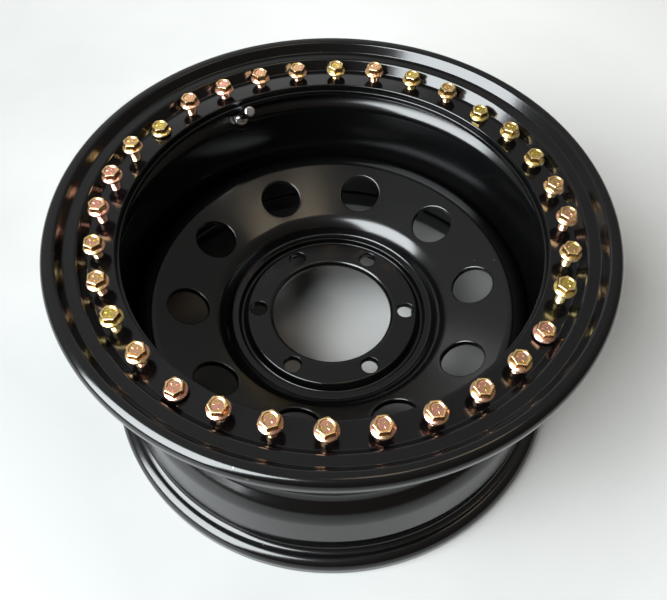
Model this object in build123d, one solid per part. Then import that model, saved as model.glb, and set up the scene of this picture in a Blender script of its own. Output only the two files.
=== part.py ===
from build123d import *
import math
import os

# ---------------------------------------------------------------------------
# Beadlock wheel, steel, lying on its inboard flange. Millimetres, +Z along the
# wheel axis towards the beadlock (outboard) face, Z = 0 on the floor plane.
# ---------------------------------------------------------------------------

# rolled rim
RIM_T = 4.5                 # rim wall
FLANGE_R = 220.3            # inboard flange, 16 inch rim
FLANGE_FACE_Z = 18.0        # bead face of the inboard flange
SEAT_R = 203.7              # bead seat at the flange
SEAT_TOE_R = 202.2          # bead seat behind the safety hump
HUMP_R = 204.6              # safety hump crest
HUMP_Z = 41.2
WELL_R = 184.5              # drop centre, outside
WELL_LOW_Z = 94.3           # inboard end of the drop centre
LEDGE_TOP = (199.0, 79.6)   # where the leg of the well meets the inboard ledge
WELL_TOP_Z = 179.14         # outboard end of the drop centre
RIM_END_R = 199.5           # outboard end of the rim, outside
RIM_TOP_Z = 200.0

# pressed centre disc
DISC_T = 6.0
HUB_BORE_R = 56.0
PAD_Z = 89.0                # outboard face of the lug pad
PAD_R = 80.2
LUG_PCD = 139.7
LUG_COUNT = 6
LUG_HOLE_R = 7.25
LUG_SEAT_R = 8.4            # mouth of the 60 degree nut seat
VENT_COUNT = 10
VENT_CIRCLE_R = 131.7
VENT_R = 19.0
VENT_CLOCK = 77.6           # degrees, first vent from +X
DISC_FLANGE_LOW_Z = 102.5

# weld-on bead ring
RING_IN_R = 170.3
RING_LAND_Z = 208.0         # face that carries the clamp ring
RING_UNDER_Z = 200.0
RING_BEVEL = 4.0            # lower inner edge, cut back for the valve
BEAD_SEAT_R = 202.8         # centres the outboard tyre bead
BEAD_FACE_Z = 198.0
RING_OUT_R = 210.5
RING_LOW_Z = 190.0

# pressed clamp ring
CLAMP_T = 5.0
CLAMP_IN_R = 172.6
CLAMP_OUT_R = 225.3
LAND_Z = 213.0              # flat under the bolt heads
CLAMP_HOLE_R = 4.5

# hex flange bolts, M8 x 20
BOLT_COUNT = 32
BOLT_CIRCLE_R = 185.6
BOLT_CLOCK = 89.1           # degrees, first bolt from +X, numbered clockwise
BOLT_R = 4.0
BOLT_LEN = 20.0
BOLT_AF = 12.7
BOLT_FLANGE_R = 8.75
BOLT_HEAD_H = 7.8
# height of each bolt's flange above the clamp ring; four are nearly run home
BOLT_GAP = [5.6, 7.3, 6.6, 6.6, 0.6, 5.8, 4.6, 7.2, 10.3, 10.9, 12.5, 1.7,
            8.8, 9.4, 9.7, 8.7, 11.0, 12.6, 10.2, 2.2, 10.5, 11.9, 10.1, 9.0,
            11.4, 11.2, 11.2, 1.1, 9.0, 6.6, 6.3, 5.3]
BOLT_TURN = [51, 15, 9, 30, 0, 3, 21, 48, 48, 21, 45, 36, 24, 30, 36, 36,
             51, 48, 30, 3, 18, 33, 9, 6, 24, 36, 30, 39, 42, 24, 48, 42]

# tyre valve, clamp-in metal stem
VALVE_AZ = 119.2            # degrees from +X
VALVE_SEAT_R = 183.2        # where the valve axis meets the rim shoulder
VALVE_SEAT_Z = 184.2
VALVE_TILT = 45.0           # from the wheel plane, pointing inwards and outboard
VALVE_HOLE_R = 5.75
STEM_R = 4.0
STEM_TIP_R = 3.85
STEM_LOW_V = 25.6           # foot of the tip that carries the cap
STEM_TIP_V = 36.0
CAP_R = 4.8
CAP_BORE_R = 3.90
CAP_LOW_V = 26.4
CAP_TOP_V = 38.6

os.makedirs("parts", exist_ok=True)


# ---------------------------------------------------------------------------
# section helpers: closed profiles with a radius at every corner
# ---------------------------------------------------------------------------
def unit(a, b):
    d = math.hypot(b[0] - a[0], b[1] - a[1])
    return ((b[0] - a[0]) / d, (b[1] - a[1]) / d)


def offset_right(pts, radii, t):
    """Parallel path at distance t to the right of the direction of travel."""
    out, rad = [], []
    n = len(pts)
    dirs = [unit(pts[i], pts[i + 1]) for i in range(n - 1)]
    for i, p in enumerate(pts):
        if i == 0 or i == n - 1:
            d = dirs[0] if i == 0 else dirs[-1]
            out.append((p[0] + t * d[1], p[1] - t * d[0]))
            rad.append(radii[i])
            continue
        a, b = dirs[i - 1], dirs[i]
        na, nb = (a[1], -a[0]), (b[1], -b[0])
        k = t / (1 + na[0] * nb[0] + na[1] * nb[1])
        out.append((p[0] + k * (na[0] + nb[0]), p[1] + k * (na[1] + nb[1])))
        turn = a[0] * b[1] - a[1] * b[0]
        rad.append(max(radii[i] + (t if turn > 0 else -t), 0.6))
    return out, rad


def profile(pts, radii):
    """Face in the XZ plane from a closed corner list with corner radii."""
    n = len(pts)
    starts, ends, mids = [], [], []
    for i in range(n):
        p, a, b = pts[i], pts[i - 1], pts[(i + 1) % n]
        r = radii[i]
        u, v = unit(p, a), unit(p, b)
        c = max(-1.0, min(1.0, u[0] * v[0] + u[1] * v[1]))
        ang = math.acos(c)
        if r <= 0 or math.pi - ang < 1e-4:
            starts.append(p)
            ends.append(p)
            mids.append(None)
            continue
        t = r / math.tan(ang / 2)
        s = (p[0] + u[0] * t, p[1] + u[1] * t)
        e = (p[0] + v[0] * t, p[1] + v[1] * t)
        w = unit((0, 0), (u[0] + v[0], u[1] + v[1]))
        h = r / math.sin(ang / 2) - r
        starts.append(s)
        ends.append(e)
        mids.append((p[0] + w[0] * h, p[1] + w[1] * h))
    edges = []
    for i in range(n):
        if mids[i] is not None:
            edges.append(ThreePointArc((starts[i][0], 0, starts[i][1]),
                                       (mids[i][0], 0, mids[i][1]),
                                       (ends[i][0], 0, ends[i][1])))
        j = (i + 1) % n
        if math.hypot(ends[i][0] - starts[j][0], ends[i][1] - starts[j][1]) > 1e-6:
            edges.append(Line((ends[i][0], 0, ends[i][1]), (starts[j][0], 0, starts[j][1])))
    return Face(Wire(edges))


def band(pts, radii, t, end_r):
    """Constant wall: the given path and its parallel, with rounded ends."""
    back, brad = offset_right(pts, radii, t)
    rad = list(radii)
    rad[0], rad[-1] = end_r[0]
    brad[0], brad[-1] = end_r[1]
    return profile(pts + back[::-1], rad + brad[::-1])


def spin(face, arc=360.0):
    return revolve(face, Axis.Z, arc)


def polar(r, deg, z):
    a = math.radians(deg)
    return Vector(r * math.cos(a), r * math.sin(a), z)


# ---------------------------------------------------------------------------
# valve frame: origin on the rim shoulder, local Z along the stem
# ---------------------------------------------------------------------------
va, vt = math.radians(VALVE_AZ), math.radians(VALVE_TILT)
V_DIR = Vector(-math.cos(va) * math.cos(vt), -math.sin(va) * math.cos(vt), math.sin(vt))
V_TAN = Vector(-math.sin(va), math.cos(va), 0)
V_PLANE = Plane(origin=polar(VALVE_SEAT_R, VALVE_AZ, VALVE_SEAT_Z), x_dir=V_TAN, z_dir=V_DIR)
V_LOC = Location(V_PLANE)
SEAT_V = -1.0               # flat of the valve pad, inside the wheel
BACK_V = -5.5               # flat of the valve pad, tyre side


def rod(r, z0, z1):
    return Pos(0, 0, (z0 + z1) / 2) * Cylinder(r, z1 - z0)


def on_valve(solid):
    return V_LOC * solid


# ---------------------------------------------------------------------------
# rim barrel
# ---------------------------------------------------------------------------
rim_path = [(RIM_END_R, RIM_TOP_Z), (RIM_END_R, WELL_TOP_Z + RIM_END_R - WELL_R), (WELL_R, WELL_TOP_Z),
            (WELL_R, WELL_LOW_Z), LEDGE_TOP, (HUMP_R, HUMP_Z), (SEAT_TOE_R, 37.4),
            (SEAT_R, FLANGE_FACE_Z), (FLANGE_R, FLANGE_FACE_Z), (FLANGE_R, 0.0)]
rim_rad = [0, 1.5, 8.0, 14.0, 30.0, 2.6, 3.0, 6.5, 9.5, 0]
rim = spin(band(rim_path, rim_rad, RIM_T, ((0.3, 1.8), (0.3, 1.6))))
pad_cone = on_valve(Pos(0, 0, -5.0) * Cone(11.0, 7.4, 8.0))
rim = rim + pad_cone
rim = rim - on_valve(rod(7.4, SEAT_V, 8.0))
rim = rim - on_valve(rod(7.5, -14.0, BACK_V))
rim = rim - on_valve(rod(VALVE_HOLE_R, -16.0, 8.0))
rim_barrel = rim

# ---------------------------------------------------------------------------
# centre disc
# ---------------------------------------------------------------------------
CONE_FOOT = (102.5, 99.33)
CONE_SLOPE = 0.4214
DISC_OUT_R = WELL_R - RIM_T
disc_path = [(HUB_BORE_R, PAD_Z), (PAD_R, PAD_Z), (83.8, 82.0), (86.7, 82.0), (88.6, 87.0), (94.5, 87.0),
             CONE_FOOT,
             (DISC_OUT_R, CONE_FOOT[1] + CONE_SLOPE * (DISC_OUT_R - CONE_FOOT[0])),
             (DISC_OUT_R, DISC_FLANGE_LOW_Z)]
disc_rad = [0, 2.6, 2.0, 1.3, 0.8, 2.5, 27.0, 16.0, 0]
disc = Rot(0, 0, VENT_CLOCK - 54.0) * spin(band(disc_path, disc_rad, DISC_T, ((4.0, 0.8), (0.5, 1.2))))

for i in range(LUG_COUNT):
    p = polar(LUG_PCD / 2, 360 / LUG_COUNT * i, 0)
    disc -= Pos(p.X, p.Y, PAD_Z - DISC_T / 2) * Cylinder(LUG_HOLE_R, DISC_T + 4)
    seat_h = (LUG_SEAT_R - LUG_HOLE_R) / math.tan(math.radians(30))
    disc -= Pos(p.X, p.Y, PAD_Z - seat_h / 2) * Cone(LUG_HOLE_R, LUG_SEAT_R, seat_h)

tilt = math.degrees(math.atan(CONE_SLOPE))
vent_z = CONE_FOOT[1] + CONE_SLOPE * (VENT_CIRCLE_R - CONE_FOOT[0])
for i in range(VENT_COUNT):
    az = VENT_CLOCK + 360 / VENT_COUNT * i
    a, b = math.radians(az), math.radians(tilt)
    n = Vector(-math.cos(a) * math.sin(b), -math.sin(a) * math.sin(b), math.cos(b))
    t = Vector(-math.sin(a), math.cos(a), 0)
    loc = Location(Plane(origin=polar(VENT_CIRCLE_R, az, vent_z), x_dir=t, z_dir=n))
    disc -= loc * Cylinder(VENT_R, 40)
vent_edges = [e for e in disc.edges()
              if abs(math.hypot(e.center().X, e.center().Y) - VENT_CIRCLE_R) < 6
              and 118 < e.length < 123]
print("vent edges", len(vent_edges))
disc = fillet(vent_edges, 1.6)
lug_edges = [e for e in disc.edges()
             if abs(math.hypot(e.center().X, e.center().Y) - LUG_PCD / 2) < 12
             and abs(e.center().Z - PAD_Z) < 0.01 and abs(e.length - 2 * math.pi * LUG_SEAT_R) < 0.5]
print("lug edges", len(lug_edges))
disc = fillet(lug_edges, 0.7)
wheel_disc = disc

# stitched fillet weld between the disc flange and the rim
weld_face = profile([(DISC_OUT_R, DISC_FLANGE_LOW_Z), (175.8, DISC_FLANGE_LOW_Z), (DISC_OUT_R, DISC_FLANGE_LOW_Z - 2.3)],
                    [0, 0.5, 0.0])
stitch = spin(weld_face, 30.0)
disc_weld = Compound(children=[Rot(0, 0, 45 * i + 7.5) * stitch for i in range(8)])

# ---------------------------------------------------------------------------
# bead ring, tapped for the bolts
# ---------------------------------------------------------------------------
ring = spin(profile(
    [(RING_IN_R, RING_LAND_Z), (BEAD_SEAT_R, RING_LAND_Z), (BEAD_SEAT_R, BEAD_FACE_Z), (RING_OUT_R, BEAD_FACE_Z),
     (RING_OUT_R, RING_LOW_Z), (RIM_END_R, RING_LOW_Z), (RIM_END_R, RING_UNDER_Z),
     (RING_IN_R + RING_BEVEL, RING_UNDER_Z), (RING_IN_R, RING_UNDER_Z + RING_BEVEL)],
    [1.0, 1.5, 2.0, 2.0, 1.0, 0, 0, 1.0, 1.0]))
clamp_path = [(CLAMP_IN_R, LAND_Z), (194.3, LAND_Z), (200.0, 221.8), (209.4, 222.3), (214.2, 230.2),
              (CLAMP_OUT_R, 231.0), (CLAMP_OUT_R, 219.6)]
clamp_rad = [0, 1.6, 3.6, 1.8, 3.4, 6.6, 0]
clamp = spin(band(clamp_path, clamp_rad, CLAMP_T, ((1.3, 1.4), (1.0, 1.4))))

bolt_spots = [(polar(BOLT_CIRCLE_R, BOLT_CLOCK - 360 / BOLT_COUNT * k, 0), BOLT_GAP[k], BOLT_TURN[k], k)
              for k in range(BOLT_COUNT)]
taps = [Pos(p.X, p.Y, 204) * Cylinder(BOLT_R, 20) for p, g, t, k in bolt_spots]
holes = [Pos(p.X, p.Y, 211) * Cylinder(CLAMP_HOLE_R, 20) for p, g, t, k in bolt_spots]
bead_ring = ring - taps
clamp_ring = clamp - holes

# continuous weld that closes the rim onto the bead ring
ring_weld = spin(profile([(RIM_END_R, WELL_TOP_Z + RIM_END_R - WELL_R), (RIM_END_R, RING_LOW_Z),
                          (WELL_R + RING_LOW_Z - WELL_TOP_Z, RING_LOW_Z)], [0, 0, 0]))


# ---------------------------------------------------------------------------
# hex flange bolt, Z = 0 under the flange
# ---------------------------------------------------------------------------
def make_bolt():
    hexagon = extrude(RegularPolygon(BOLT_AF / 2, 6, major_radius=False), BOLT_HEAD_H)
    crown = spin(profile([(0, 0), (9, 0), (9, 6.9), (6.2, BOLT_HEAD_H), (0, BOLT_HEAD_H)], [0, 0, 0, 0, 0]))
    head = hexagon & crown
    flange = spin(profile([(0, 0), (BOLT_FLANGE_R, 0), (BOLT_FLANGE_R, 1.5), (6.2, 3.1), (0, 3.1)],
                          [0, 0.5, 0.6, 0, 0]))
    shank = spin(profile([(0, 0.5), (0, -BOLT_LEN), (3.2, -BOLT_LEN), (BOLT_R, -BOLT_LEN + 1.0), (BOLT_R, 0.5)],
                         [0, 0, 0, 0, 0]))
    dish = spin(profile([(0, BOLT_HEAD_H + 1), (0, BOLT_HEAD_H - 0.8), (4.3, BOLT_HEAD_H - 0.8),
                         (5.2, BOLT_HEAD_H + 0.02), (5.2, BOLT_HEAD_H + 1)], [0, 0, 0.6, 0, 0]))
    return (head + flange + shank) - dish


bolt = make_bolt()
ring_bolts = Compound(children=[Pos(p.X, p.Y, LAND_Z + g) * Rot(0, 0, t) * bolt for p, g, t, k in bolt_spots])

# ---------------------------------------------------------------------------
# tyre valve
# ---------------------------------------------------------------------------
stem = rod(7.2, -11.2, -8.6) + rod(STEM_R, -8.7, STEM_LOW_V) + rod(STEM_TIP_R, STEM_LOW_V - 0.1, STEM_TIP_V)
stem = chamfer([e for e in stem.edges() if abs(e.center().Z - STEM_TIP_V) < 1e-6], 0.5)
stem = stem - rod(2.7, 19.0, 44.0) - rod(1.5, -20.0, 20.0)
valve_stem = on_valve(stem)

seal = rod(7.2, -8.6, BACK_V) + rod(VALVE_HOLE_R, -5.6, -1.3) - rod(STEM_R, -10, 0)
valve_seal = on_valve(seal)

washer = rod(7.2, SEAT_V, 0.3) - rod(STEM_R, -3, 3)
washer = chamfer([e for e in washer.edges() if abs(e.center().Z - 0.3) < 1e-6 and e.length > 40], 0.4)
valve_washer = on_valve(washer)

nut = Pos(0, 0, 0.3) * extrude(RegularPolygon(5.5, 6, major_radius=False), 6.6)
nut = nut & spin(profile([(0, 0.3), (7.5, 0.3), (7.5, 5.4), (4.8, 6.9), (0, 6.9)], [0, 0, 0, 0, 0]))
nut = nut - rod(STEM_R, -3, 9)
valve_nut = on_valve(nut)

cap = spin(profile([(0, CAP_LOW_V), (CAP_R, CAP_LOW_V), (CAP_R, CAP_TOP_V), (0, CAP_TOP_V)], [0, 0.5, 1.2, 0]))
cap = cap - rod(CAP_BORE_R, CAP_LOW_V - 1, CAP_TOP_V - 1.5)
for i in range(18):
    a = math.radians(20 * i)
    cap -= Pos((CAP_R + 0.25) * math.cos(a), (CAP_R + 0.25) * math.sin(a), CAP_TOP_V - 5.0) * Cylinder(0.55, 10.0)
valve_cap = on_valve(cap)
cap_gasket = on_valve(rod(3.6, 36.1, 37.05) - rod(1.4, 34, 39))

core = rod(2.7, 26.0, 35.0) - rod(1.3, 26.7, 36.0) - rod(0.75, 25, 28)
core_body = on_valve(core)
core_seal = on_valve(rod(2.7, 24.6, 26.0) - rod(0.75, 23, 28))
pin = rod(0.65, 23.0, 35.3) + rod(1.24, 32.9, 33.7) + rod(2.2, 23.0, 24.5)
core_pin = on_valve(pin)
coil = Pos(0, 0, 26.9) * Helix(pitch=0.8, height=4.8, radius=0.97)
wire = sweep(Plane(origin=coil @ 0, z_dir=coil % 0) * Circle(0.16), path=coil, is_frenet=True)
core_spring = on_valve(wire)

nodes = dict(rim_barrel=rim_barrel, wheel_disc=wheel_disc, disc_weld=disc_weld, bead_ring=bead_ring,
             ring_weld=ring_weld, clamp_ring=clamp_ring, ring_bolts=ring_bolts, valve_stem=valve_stem,
             valve_seal=valve_seal, valve_washer=valve_washer, valve_nut=valve_nut, valve_cap=valve_cap,
             cap_gasket=cap_gasket, core_body=core_body, core_seal=core_seal, core_pin=core_pin,
             core_spring=core_spring)

for name, shape in nodes.items():
    export_step(shape, f"parts/{name}.step")
    bb = shape.bounding_box()
    print(f"{name:14s} solids {len(shape.solids()):3d} volume {shape.volume/1000:9.2f} cm3 "
          f"z {bb.min.Z:7.2f}..{bb.max.Z:7.2f}")
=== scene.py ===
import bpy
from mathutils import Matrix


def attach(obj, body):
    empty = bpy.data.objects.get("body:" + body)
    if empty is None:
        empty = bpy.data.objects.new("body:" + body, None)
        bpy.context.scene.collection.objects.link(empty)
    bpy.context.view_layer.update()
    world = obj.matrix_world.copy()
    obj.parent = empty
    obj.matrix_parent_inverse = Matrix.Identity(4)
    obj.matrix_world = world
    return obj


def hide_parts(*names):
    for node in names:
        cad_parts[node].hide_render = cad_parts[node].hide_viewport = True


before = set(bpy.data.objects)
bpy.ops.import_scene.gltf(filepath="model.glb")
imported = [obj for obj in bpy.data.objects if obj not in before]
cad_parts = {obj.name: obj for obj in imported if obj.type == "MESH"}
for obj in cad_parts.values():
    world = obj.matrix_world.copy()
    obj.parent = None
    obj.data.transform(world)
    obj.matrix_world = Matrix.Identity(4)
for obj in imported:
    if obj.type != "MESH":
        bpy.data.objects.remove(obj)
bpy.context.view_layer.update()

import math

import bpy
import numpy as np
from mathutils import Matrix, Vector

MM = 0.001
TAU = 2 * math.pi
scene = bpy.context.scene

# ---------------------------------------------------------------------------
# sizes of the wheel, millimetres, the same as in the CAD part
# ---------------------------------------------------------------------------
RIM_T = 4.5
RIM_PATH = [(199.5, 200.0), (199.5, 194.14), (184.5, 179.14), (184.5, 94.3), (199.0, 79.6), (204.6, 41.2), (202.2, 37.4),
            (203.7, 18.0), (220.3, 18.0), (220.3, 0.0)]
RIM_RAD = [0, 1.5, 8.0, 14.0, 30.0, 2.6, 3.0, 6.5, 9.5, 0]

DISC_T = 6.0
CONE_SLOPE = 0.4214
DISC_PATH = [(56.0, 89.0), (80.2, 89.0), (83.8, 82.0), (86.7, 82.0), (88.6, 87.0), (94.5, 87.0),
             (102.5, 99.33), (180.0, 99.33 + CONE_SLOPE * 77.5), (180.0, 102.5)]
DISC_RAD = [0, 2.6, 2.0, 1.3, 0.8, 2.5, 27.0, 16.0, 0]
LUG_R, LUG_HOLE_R, LUG_SEAT_R = 69.85, 7.25, 8.4
VENT_RING_R, VENT_R, VENT_CLOCK, VENT_EDGE = 131.7, 19.0, 77.6, 1.6

RING_POINTS = [(170.3, 208.0), (202.8, 208.0), (202.8, 198.0), (210.5, 198.0), (210.5, 190.0), (199.5, 190.0),
               (199.5, 200.0), (174.3, 200.0), (170.3, 204.0)]
RING_RAD = [1.0, 1.5, 2.0, 2.0, 1.0, 0, 0, 1.0, 1.0]

CLAMP_T = 5.0
CLAMP_PATH = [(172.6, 213.0), (194.3, 213.0), (200.0, 221.8), (209.4, 222.3), (214.2, 230.2), (225.2, 231.0),
              (225.2, 219.6)]
CLAMP_RAD = [0, 1.6, 3.6, 1.8, 3.4, 6.6, 0]
LAND_Z = 213.0

BOLT_COUNT, BOLT_RING_R, BOLT_CLOCK = 32, 185.6, 89.1
BOLT_GAP = [5.6, 7.3, 6.6, 6.6, 0.6, 5.8, 4.6, 7.2, 10.3, 10.9, 12.5, 1.7,
            8.8, 9.4, 9.7, 8.7, 11.0, 12.6, 10.2, 2.2, 10.5, 11.9, 10.1, 9.0,
            11.4, 11.2, 11.2, 1.1, 9.0, 6.6, 6.3, 5.3]
BOLT_TURN = [51, 15, 9, 30, 0, 3, 21, 48, 48, 21, 45, 36, 24, 30, 36, 36,
             51, 48, 30, 3, 18, 33, 9, 6, 24, 36, 30, 39, 42, 24, 48, 42]
# how green the plating of each bolt has turned, 0 pink to 1 green gold
BOLT_TONE = [0.8, 0.4, 0.8, 0.6, 1.0, 0.8, 0.8, 0.5, 0.4, 0.6, 1.0, 0.1, 0.5, 0.3, 0.2, 0.2,
             0.3, 0.3, 0.3, 0.1, 0.4, 0.9, 0.4, 0.5, 0.1, 0.1, 0.5, 0.8, 0.3, 0.1, 0.3, 0.4]

VALVE_AZ = math.radians(119.2)
S45 = math.sqrt(0.5)
V_ORG = np.array([183.2 * math.cos(VALVE_AZ), 183.2 * math.sin(VALVE_AZ), 184.2])
V_DIR = np.array([-math.cos(VALVE_AZ) * S45, -math.sin(VALVE_AZ) * S45, S45])
V_TAN = np.array([-math.sin(VALVE_AZ), math.cos(VALVE_AZ), 0.0])
V_MER = np.array([math.cos(VALVE_AZ) * S45, math.sin(VALVE_AZ) * S45, S45])


# ---------------------------------------------------------------------------
# sections
# ---------------------------------------------------------------------------
def unit(a, b):
    d = math.hypot(b[0] - a[0], b[1] - a[1])
    return ((b[0] - a[0]) / d, (b[1] - a[1]) / d)


def offset_right(pts, radii, t):
    out, rad = [], []
    n = len(pts)
    dirs = [unit(pts[i], pts[i + 1]) for i in range(n - 1)]
    for i, p in enumerate(pts):
        if i == 0 or i == n - 1:
            d = dirs[0] if i == 0 else dirs[-1]
            out.append((p[0] + t * d[1], p[1] - t * d[0]))
            rad.append(radii[i])
            continue
        a, b = dirs[i - 1], dirs[i]
        na, nb = (a[1], -a[0]), (b[1], -b[0])
        k = t / (1 + na[0] * nb[0] + na[1] * nb[1])
        out.append((p[0] + k * (na[0] + nb[0]), p[1] + k * (na[1] + nb[1])))
        turn = a[0] * b[1] - a[1] * b[0]
        rad.append(max(radii[i] + (t if turn > 0 else -t), 0.6))
    return out, rad


def section(pts, radii, step=6.0, span=None, keep=(), closed=True, sag=0.0):
    """Corner list with radii, travelled with the metal on the right, as segments
    (start, end, normal at start, normal at end, kept whole)."""
    n = len(pts)
    corner = {}
    for i in (range(n) if closed else range(1, n - 1)):
        p, a, b = pts[i], pts[i - 1], pts[(i + 1) % n]
        u, v = unit(p, a), unit(p, b)
        ang = math.acos(max(-1.0, min(1.0, u[0] * v[0] + u[1] * v[1])))
        if radii[i] <= 0 or math.pi - ang < 1e-4:
            continue
        r = radii[i]
        t = r / math.tan(ang / 2)
        s, e = (p[0] + u[0] * t, p[1] + u[1] * t), (p[0] + v[0] * t, p[1] + v[1] * t)
        w = unit((0, 0), (u[0] + v[0], u[1] + v[1]))
        c = (p[0] + w[0] * r / math.sin(ang / 2), p[1] + w[1] * r / math.sin(ang / 2))
        out = 1.0 if (-u[0]) * v[1] - (-u[1]) * v[0] < 0 else -1.0
        turn = max(step, math.degrees(2 * math.acos(1 - min(sag / r, 1.0))))
        k = max(2, math.ceil(math.degrees(math.pi - ang) / turn))
        a0 = math.atan2(s[1] - c[1], s[0] - c[0])
        d = (math.atan2(e[1] - c[1], e[0] - c[0]) - a0 + math.pi) % TAU - math.pi
        arc = [(c[0] + r * math.cos(a0 + d * j / k), c[1] + r * math.sin(a0 + d * j / k)) for j in range(k + 1)]
        corner[i] = (arc, [(out * (q[0] - c[0]) / r, out * (q[1] - c[1]) / r) for q in arc])
    segs = []
    for i in range(n if closed else n - 1):
        j = (i + 1) % n
        a = corner[i][0][-1] if i in corner else pts[i]
        b = corner[j][0][0] if j in corner else pts[j]
        length = math.hypot(b[0] - a[0], b[1] - a[1])
        if length > 1e-6:
            d = unit(a, b)
            nn = (-d[1], d[0])
            whole = any(abs((q[0] - a[0]) * nn[0] + (q[1] - a[1]) * nn[1]) < 0.2
                        and 0 < (q[0] - a[0]) * d[0] + (q[1] - a[1]) * d[1] < length for q in keep)
            k = 1 if whole or not span else max(1, math.ceil(length / span))
            for m in range(k):
                f, g = m / k, (m + 1) / k
                segs.append(((a[0] + f * (b[0] - a[0]), a[1] + f * (b[1] - a[1])),
                             (a[0] + g * (b[0] - a[0]), a[1] + g * (b[1] - a[1])), nn, nn, whole))
        if j in corner:
            arc, nor = corner[j]
            for m in range(len(arc) - 1):
                segs.append((arc[m], arc[m + 1], nor[m], nor[m + 1], False))
    return segs


def band(pts, radii, t, end_r, **kw):
    back, brad = offset_right(pts, radii, t)
    rad = list(radii)
    rad[0], rad[-1] = end_r[0]
    brad[0], brad[-1] = end_r[1]
    return section(pts + back[::-1], rad + brad[::-1], **kw)


# ---------------------------------------------------------------------------
# meshes with exact normals
# ---------------------------------------------------------------------------
class Skin:
    """Vertices in millimetres, polygons, and a normal for each polygon corner."""

    def __init__(self):
        self.co, self.n = [], 0
        self.quads, self.quad_nor = [], []
        self.caps, self.cap_nor = [], []
        self.point = {}

    def add(self, co, **attrs):
        co = np.asarray(co, float).reshape(-1, 3)
        idx = np.arange(self.n, self.n + len(co))
        self.co.append(co)
        self.n += len(co)
        for key, value in attrs.items():
            self.point.setdefault(key, []).append((idx, np.broadcast_to(value, (len(co),))))
        return idx

    def quad(self, idx, nor):
        self.quads.append(np.asarray(idx, int).reshape(-1, 4))
        self.quad_nor.append(np.asarray(nor, float).reshape(-1, 4, 3))

    def cap(self, idx, nor):
        self.caps.append([int(i) for i in idx])
        self.cap_nor.append(np.broadcast_to(np.asarray(nor, float), (len(self.caps[-1]), 3)))

    def loops(self, a, b, na, nb):
        """Quads from closed loop a to the next closed loop b."""
        a, b = np.asarray(a), np.asarray(b)
        a1, b1 = np.roll(a, -1), np.roll(b, -1)
        self.quad(np.stack([a, b, b1, a1], 1),
                  np.stack([na, nb, np.roll(nb, -1, 0), np.roll(na, -1, 0)], 1))

    def place(self, other, matrix, **attrs):
        """Copies another skin in, moved by a 4x4 matrix in millimetres."""
        rot = matrix[:3, :3]
        base = self.n
        co = np.concatenate(other.co) @ rot.T + matrix[:3, 3]
        idx = self.add(co, **attrs)
        for key, rows in other.point.items():
            for i, value in rows:
                self.point.setdefault(key, []).append((idx[i], value))
        for q, nq in zip(other.quads, other.quad_nor):
            self.quad(q + base, nq @ rot.T)
        for c, nc in zip(other.caps, other.cap_nor):
            self.cap([i + base for i in c], nc @ rot.T)

    def build(self, name):
        co = np.concatenate(self.co) * MM
        quads = np.concatenate(self.quads)
        corners = [quads.reshape(-1)] + [np.array(c, int) for c in self.caps]
        nor = [np.concatenate(self.quad_nor).reshape(-1, 3)] + list(self.cap_nor)
        sizes = np.array([4] * len(quads) + [len(c) for c in self.caps], int)
        corners, nor = np.concatenate(corners), np.concatenate(nor)
        nor /= np.maximum(np.linalg.norm(nor, axis=1, keepdims=True), 1e-12)
        mesh = bpy.data.meshes.new(name)
        mesh.vertices.add(len(co))
        mesh.vertices.foreach_set("co", co.astype(np.float32).ravel())
        mesh.loops.add(len(corners))
        mesh.loops.foreach_set("vertex_index", corners.astype(np.int32))
        mesh.polygons.add(len(sizes))
        starts = np.concatenate([[0], np.cumsum(sizes)[:-1]])
        mesh.polygons.foreach_set("loop_start", starts.astype(np.int32))
        mesh.update(calc_edges=True)
        mesh.polygons.foreach_set("use_smooth", np.ones(len(sizes), bool))
        for key, rows in self.point.items():
            values = np.zeros(len(co), np.float32)
            for idx, value in rows:
                values[idx] = value
            mesh.attributes.new(key, "FLOAT", "POINT").data.foreach_set("value", values)
        if mesh.validate(verbose=False):
            print("mesh", name, "had faults that were mended")
        if len(mesh.loops) == len(nor):
            mesh.normals_split_custom_set(nor.astype(np.float32))
        obj = bpy.data.objects.new(name, mesh)
        scene.collection.objects.link(obj)
        return obj


def spin(skin, segs, count, start=0.0, skip=None):
    """Turns a closed section round Z. skip maps a segment to the columns it leaves open."""
    th = start + TAU * np.arange(count) / count
    cs, sn = np.cos(th), np.sin(th)
    r = np.array([s[0][0] for s in segs])
    z = np.array([s[0][1] for s in segs])
    co = np.stack([r[:, None] * cs, r[:, None] * sn, np.repeat(z[:, None], count, 1)], -1)
    ring = skin.add(co).reshape(len(segs), count)
    for i, s in enumerate(segs):
        cols = np.arange(count)
        if skip and i in skip:
            cols = np.setdiff1d(cols, skip[i])
            if not len(cols):
                continue
        nxt = (cols + 1) % count
        a, b = ring[i], ring[(i + 1) % len(segs)]
        na = np.stack([s[2][0] * cs, s[2][0] * sn, np.full(count, s[2][1])], -1)
        nb = np.stack([s[3][0] * cs, s[3][0] * sn, np.full(count, s[3][1])], -1)
        skin.quad(np.stack([a[cols], b[cols], b[nxt], a[nxt]], 1),
                  np.stack([na[cols], nb[cols], nb[nxt], na[nxt]], 1))
    return ring, th


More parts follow.
